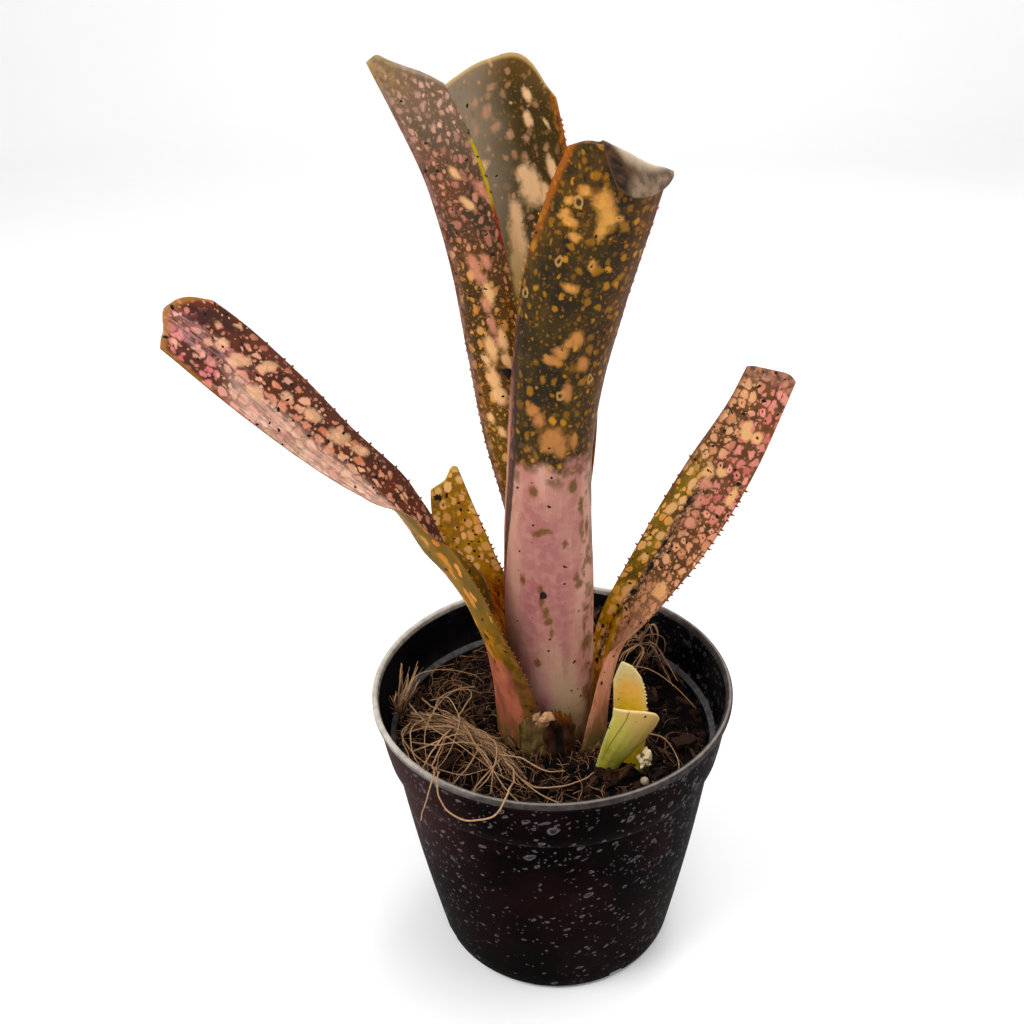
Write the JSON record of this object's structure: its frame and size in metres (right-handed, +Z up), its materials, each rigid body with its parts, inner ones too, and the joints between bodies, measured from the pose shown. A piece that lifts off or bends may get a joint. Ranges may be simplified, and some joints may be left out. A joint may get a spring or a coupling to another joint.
{
  "type": "potted bromeliad",
  "caption": "Potted bromeliad with tall spotted strap leaves in a narrow tube, arching side leaves, a yellow offset and coir in a round black nursery pot.",
  "frame": {"origin": "centre of the pot's underside", "axes": "+Z up along the pot's axis; -Y is the side seen in the picture, where the folded leaf tip hangs"},
  "size_m": [0.1909, 0.1316, 0.3177],
  "materials": {
    "pot_plastic": "satin black-maroon, moulded",
    "potting_mix": "dark fibrous mix",
    "stem": "fibrous stem",
    "leaf_front": "semi-gloss",
    "leaf_back": "semi-gloss",
    "leaf_inner": "semi-gloss",
    "leaf_left": "semi-gloss",
    "leaf_right": "semi-gloss",
    "leaf_short": "semi-gloss",
    "young_leaf": "semi-gloss",
    "dry_husk": "dry, fibrous",
    "old_sheath": "dull, part decayed",
    "coir": "dry fibres",
    "bark": "rough",
    "pellet": "matt",
    "young_stub": "matt"
  },
  "bodies": {
    "root": {"pot": "pot_plastic", "soil": "potting_mix", "crown": "stem", "leaf_front": "leaf_front", "leaf_back": "leaf_back", "leaf_inner": "leaf_inner", "leaf_left": "leaf_left", "leaf_right": "leaf_right", "leaf_short": "leaf_short", "pup_blade": "young_leaf", "pup_outer_leaf": "young_leaf", "pup_husk": "dry_husk", "old_sheath": "old_sheath", "dry_bract": "dry_husk", "coir_wad": "coir", "coir_tuft": "coir", "coir_back": "coir", "bark_strip": "bark", "bark_chip_right": "bark", "bark_chip_back": "bark", "bark_chip_front": "bark", "pellet": "pellet", "pup_stub": "young_stub"}
  },
  "joints": []
}
